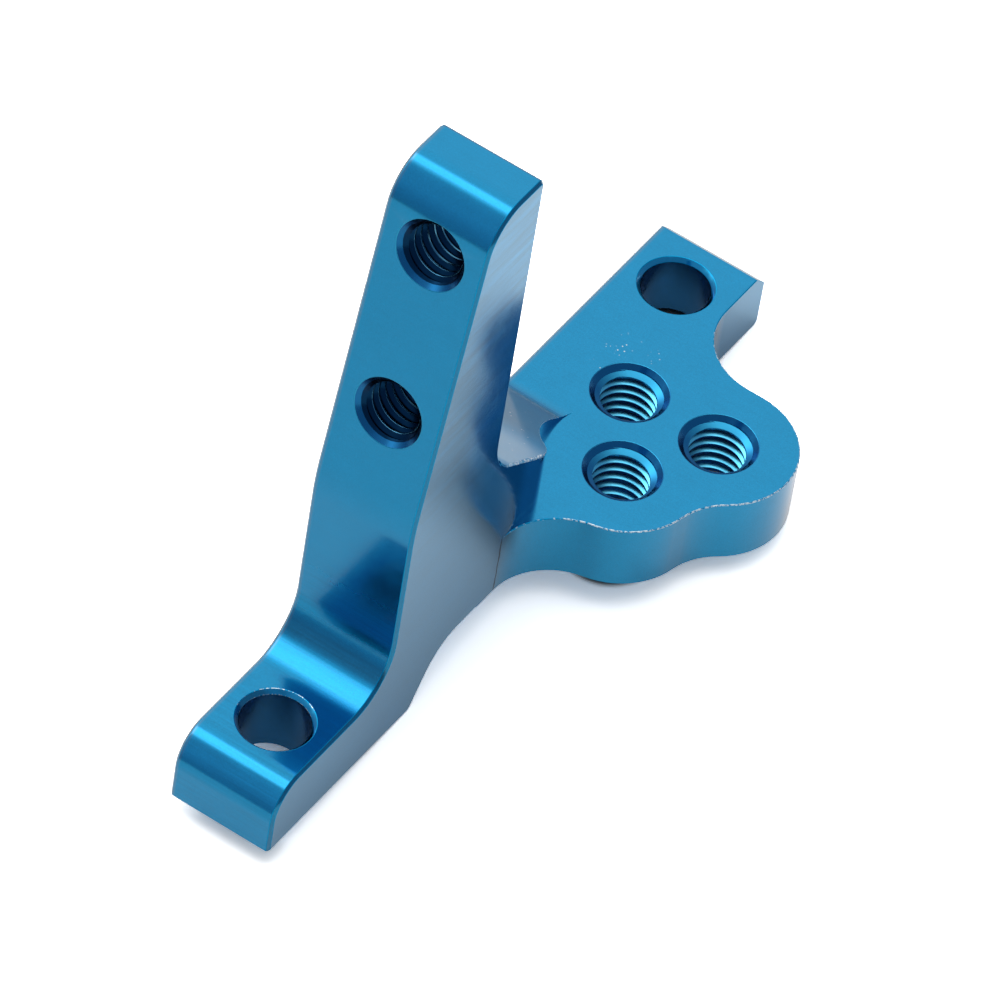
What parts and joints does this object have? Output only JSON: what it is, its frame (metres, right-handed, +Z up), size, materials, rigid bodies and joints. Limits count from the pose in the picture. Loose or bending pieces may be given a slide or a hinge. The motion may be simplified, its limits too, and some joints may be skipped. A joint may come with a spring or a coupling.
{
  "type": "ball stud mounting bracket",
  "caption": "Stepped mounting bracket cut from solid bar: a foot and a far end with plain screw holes, an upright with tapped holes, and a plate whose lobes have tapped holes for ball studs.",
  "frame": {"origin": "on the axis of the foot's plain hole, at the foot's underside", "axes": "+Z up out of the foot's hole, +Y along the bar from the foot to the far hole, +X across the bar towards the lobes"},
  "size_m": [0.0128, 0.0371, 0.0292],
  "materials": {
    "anodised_aluminium": "satin, anodised blue"
  },
  "bodies": {
    "root": {"bracket": "anodised_aluminium"}
  },
  "joints": []
}
